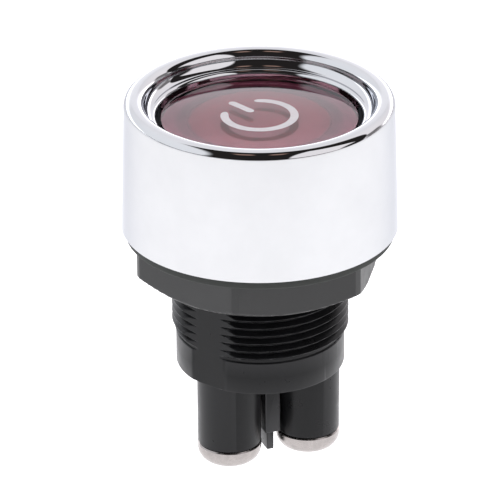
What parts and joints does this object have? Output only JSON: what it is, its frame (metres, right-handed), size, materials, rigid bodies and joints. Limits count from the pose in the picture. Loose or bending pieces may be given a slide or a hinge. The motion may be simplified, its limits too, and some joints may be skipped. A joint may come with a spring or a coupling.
{
  "type": "illuminated panel push button",
  "caption": "Round chrome panel push button with a recessed translucent red lens, threaded barrel, hex nut and round screw-terminal posts.",
  "frame": {"origin": "on the button's axis, in the plane where the gasket meets the panel", "axes": "+Z along the button's axis, out through the lens; +X along the line of the two front terminals; the front terminals are on the -Y side"},
  "size_m": [0.0344, 0.0344, 0.0473],
  "materials": {
    "chrome": "bright mirror plating",
    "black_plastic": "semi-gloss moulded",
    "rubber": "matt",
    "nut_plastic": "satin moulded",
    "plated_steel": "nickel plated",
    "spring_steel": "drawn wire",
    "brass": "machined",
    "copper": "stamped",
    "silver": "bright",
    "red_lens": "polished translucent smoky red",
    "pale_red_diffuser": "milky",
    "dark_film": "printed film",
    "board": "solder mask",
    "clear_resin": "cast",
    "resistor_body": "lacquered",
    "white_plastic": "moulded"
  },
  "bodies": {
    "housing": {"bezel": "chrome", "barrel": "black_plastic", "terminal_base": "black_plastic", "terminal_insert_left": "brass", "terminal_insert_right": "brass", "terminal_insert_rear": "brass", "fixed_contact_left": "copper", "fixed_contact_right": "copper", "fixed_tip_left": "silver", "fixed_tip_right": "silver", "lamp_feed_strip": "copper", "spring_seat_ring": "brass"},
    "gasket": {"gasket": "rubber"},
    "nut": {"hex_nut": "nut_plastic"},
    "screw_left": {"terminal_screw_left": "plated_steel"},
    "screw_right": {"terminal_screw_right": "plated_steel"},
    "screw_rear": {"terminal_screw_rear": "plated_steel"},
    "button": {"lens": "red_lens", "diffuser": "pale_red_diffuser", "mask_ring": "dark_film", "button_carrier": "black_plastic", "led_board": "board", "led_lamp": "clear_resin", "led_resistor": "resistor_body", "plunger": "white_plastic", "return_spring": "spring_steel", "contact_spring": "spring_steel", "retaining_clip": "spring_steel"},
    "bridge": {"contact_bridge": "copper", "moving_tip_left": "silver", "moving_tip_right": "silver"}
  },
  "joints": [
    {"name": "press", "type": "slide", "parent": "housing", "child": "button", "axis": [0, 0, -1], "range_m": [0, 0.0022], "stiffness_N_per_m": 1000, "springref_m": -0.003, "deforming": ["return_spring"]},
    {"name": "bridge_lift", "type": "slide", "parent": "button", "child": "bridge", "axis": [0, 0, 1], "range_m": [0, 0.0007], "deforming": ["contact_spring"]},
    {"name": "nut_turn", "type": "hinge", "parent": "gasket", "child": "nut", "pos_m": [0, 0, 0], "axis": [0, 0, -1], "range_deg": [0, 2700]},
    {"name": "gasket_slide", "type": "slide", "parent": "housing", "child": "gasket", "axis": [0, 0, -1], "range_m": [0, 0.00788]},
    {"name": "screw_left_out", "type": "slide", "parent": "housing", "child": "screw_left", "axis": [0, 0, -1], "range_m": [0, 0.005]},
    {"name": "screw_right_out", "type": "slide", "parent": "housing", "child": "screw_right", "axis": [0, 0, -1], "range_m": [0, 0.005]},
    {"name": "screw_rear_out", "type": "slide", "parent": "housing", "child": "screw_rear", "axis": [0, 0, -1], "range_m": [0, 0.005]}
  ],
  "couplings": [
    {"joint": "bridge_lift", "follows": "press", "ratio": 0.3181},
    {"joint": "gasket_slide", "follows": "nut_turn", "m_per_rad": 0.00016711}
  ]
}
